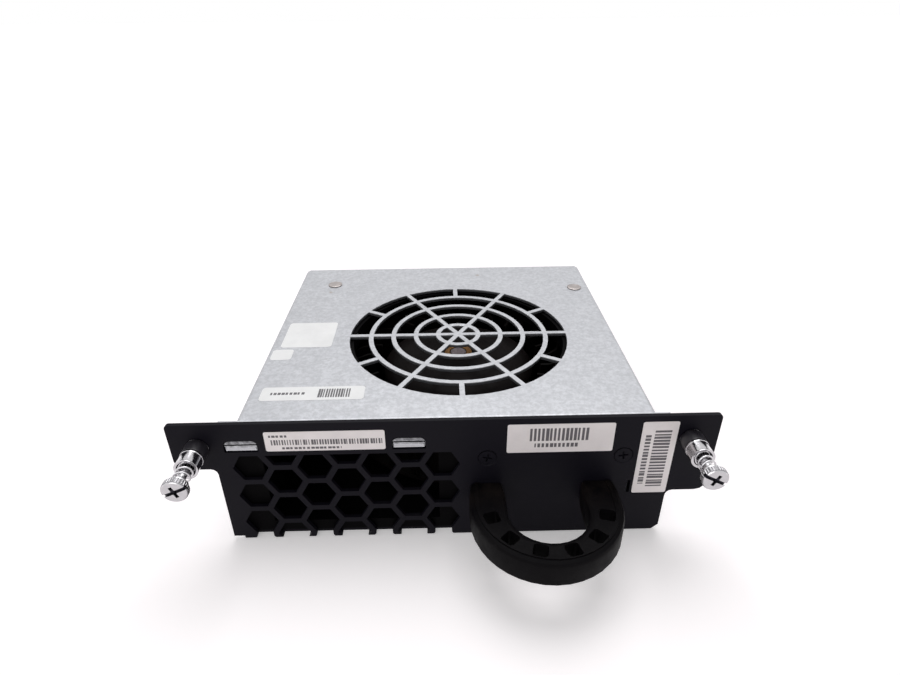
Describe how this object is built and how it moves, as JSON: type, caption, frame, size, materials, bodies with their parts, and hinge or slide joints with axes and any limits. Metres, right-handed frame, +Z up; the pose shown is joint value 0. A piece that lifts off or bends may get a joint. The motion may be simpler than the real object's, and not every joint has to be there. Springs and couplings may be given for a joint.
{
  "type": "switch fan tray",
  "caption": "Slide-in fan tray for a network switch: steel box with a centrifugal blower under a round grille, honeycomb front, pull handle and sprung captive screws.",
  "frame": {"origin": "centre of the overall footprint, on the plane the tray rests on", "axes": "+X to the right as seen from the front, +Y into the chassis (towards the rear connector), +Z up"},
  "size_m": [0.144, 0.1328, 0.0413],
  "materials": {
    "black_steel": "semi-matt black coating on sheet steel",
    "galvanised": "zinc-coated sheet steel with a faint spangle",
    "rivet_steel": "bare rivet steel",
    "bright_steel": "bright plated steel",
    "handle_plastic": "black moulded nylon",
    "black_plastic": "black moulded plastic",
    "brass": "plain brass",
    "magnet": "dark grey bonded magnet",
    "copper": "wound copper wire",
    "board": "green circuit board",
    "lead": "black insulation"
  },
  "bodies": {
    "tray": {"faceplate": "black_steel", "top_cover": "galvanised", "bottom_pan": "galvanised", "top_rivet_left": "rivet_steel", "top_rivet_right": "rivet_steel", "side_rivet_left_front": "rivet_steel", "side_rivet_left_rear": "rivet_steel", "side_rivet_right_front": "rivet_steel", "side_rivet_right_rear": "rivet_steel", "lap_rivet_1": "rivet_steel", "lap_rivet_2": "rivet_steel", "lap_rivet_3": "rivet_steel", "panel_screw_left": "black_steel", "panel_screw_right": "black_steel", "clinch_nut_left": "bright_steel", "clinch_nut_right": "bright_steel", "handle": "handle_plastic", "handle_screw_left": "bright_steel", "handle_screw_right": "bright_steel", "ferrule_left": "black_steel", "ferrule_right": "black_steel", "sleeve_left": "bright_steel", "sleeve_right": "bright_steel", "spring_left": "bright_steel", "spring_right": "bright_steel", "blower_scroll": "black_plastic", "blower_lid": "black_plastic", "lid_screw_1": "bright_steel", "lid_screw_2": "bright_steel", "lid_screw_3": "bright_steel", "bearing_tube": "brass", "bearing_lower": "bright_steel", "bearing_upper": "bright_steel", "stator": "copper", "motor_board": "board", "connector_housing": "black_plastic", "contact_1": "brass", "contact_2": "brass", "contact_3": "brass", "contact_4": "brass", "motor_lead": "lead"},
    "impeller_body": {"impeller": "black_plastic", "rotor_yoke": "bright_steel", "rotor_magnet": "magnet", "shaft": "bright_steel", "hub_insert": "brass", "shaft_clip": "bright_steel"},
    "screw_carrier_left": {"screw_washer_left": "bright_steel"},
    "screw_carrier_right": {"screw_washer_right": "bright_steel"},
    "captive_left": {"captive_screw_left": "bright_steel"},
    "captive_right": {"captive_screw_right": "bright_steel"}
  },
  "joints": [
    {"name": "impeller_spin", "type": "hinge", "parent": "tray", "child": "impeller_body", "pos_m": [0.00487, 0.0087, 0.02], "axis": [0, 0, 1], "continuous": true},
    {"name": "captive_screw_left_press", "type": "slide", "parent": "tray", "child": "screw_carrier_left", "axis": [0, 1, 0], "range_m": [0, 0.0047], "stiffness_N_per_m": 500, "springref_m": -0.003, "deforming": ["spring_left"]},
    {"name": "captive_screw_left_turn", "type": "hinge", "parent": "screw_carrier_left", "child": "captive_left", "pos_m": [-0.0648, -0.0534, 0.0336], "axis": [0, 1, 0], "continuous": true},
    {"name": "captive_screw_right_press", "type": "slide", "parent": "tray", "child": "screw_carrier_right", "axis": [0, 1, 0], "range_m": [0, 0.0047], "stiffness_N_per_m": 500, "springref_m": -0.003, "deforming": ["spring_right"]},
    {"name": "captive_screw_right_turn", "type": "hinge", "parent": "screw_carrier_right", "child": "captive_right", "pos_m": [0.0648, -0.0534, 0.0336], "axis": [0, 1, 0], "continuous": true}
  ]
}
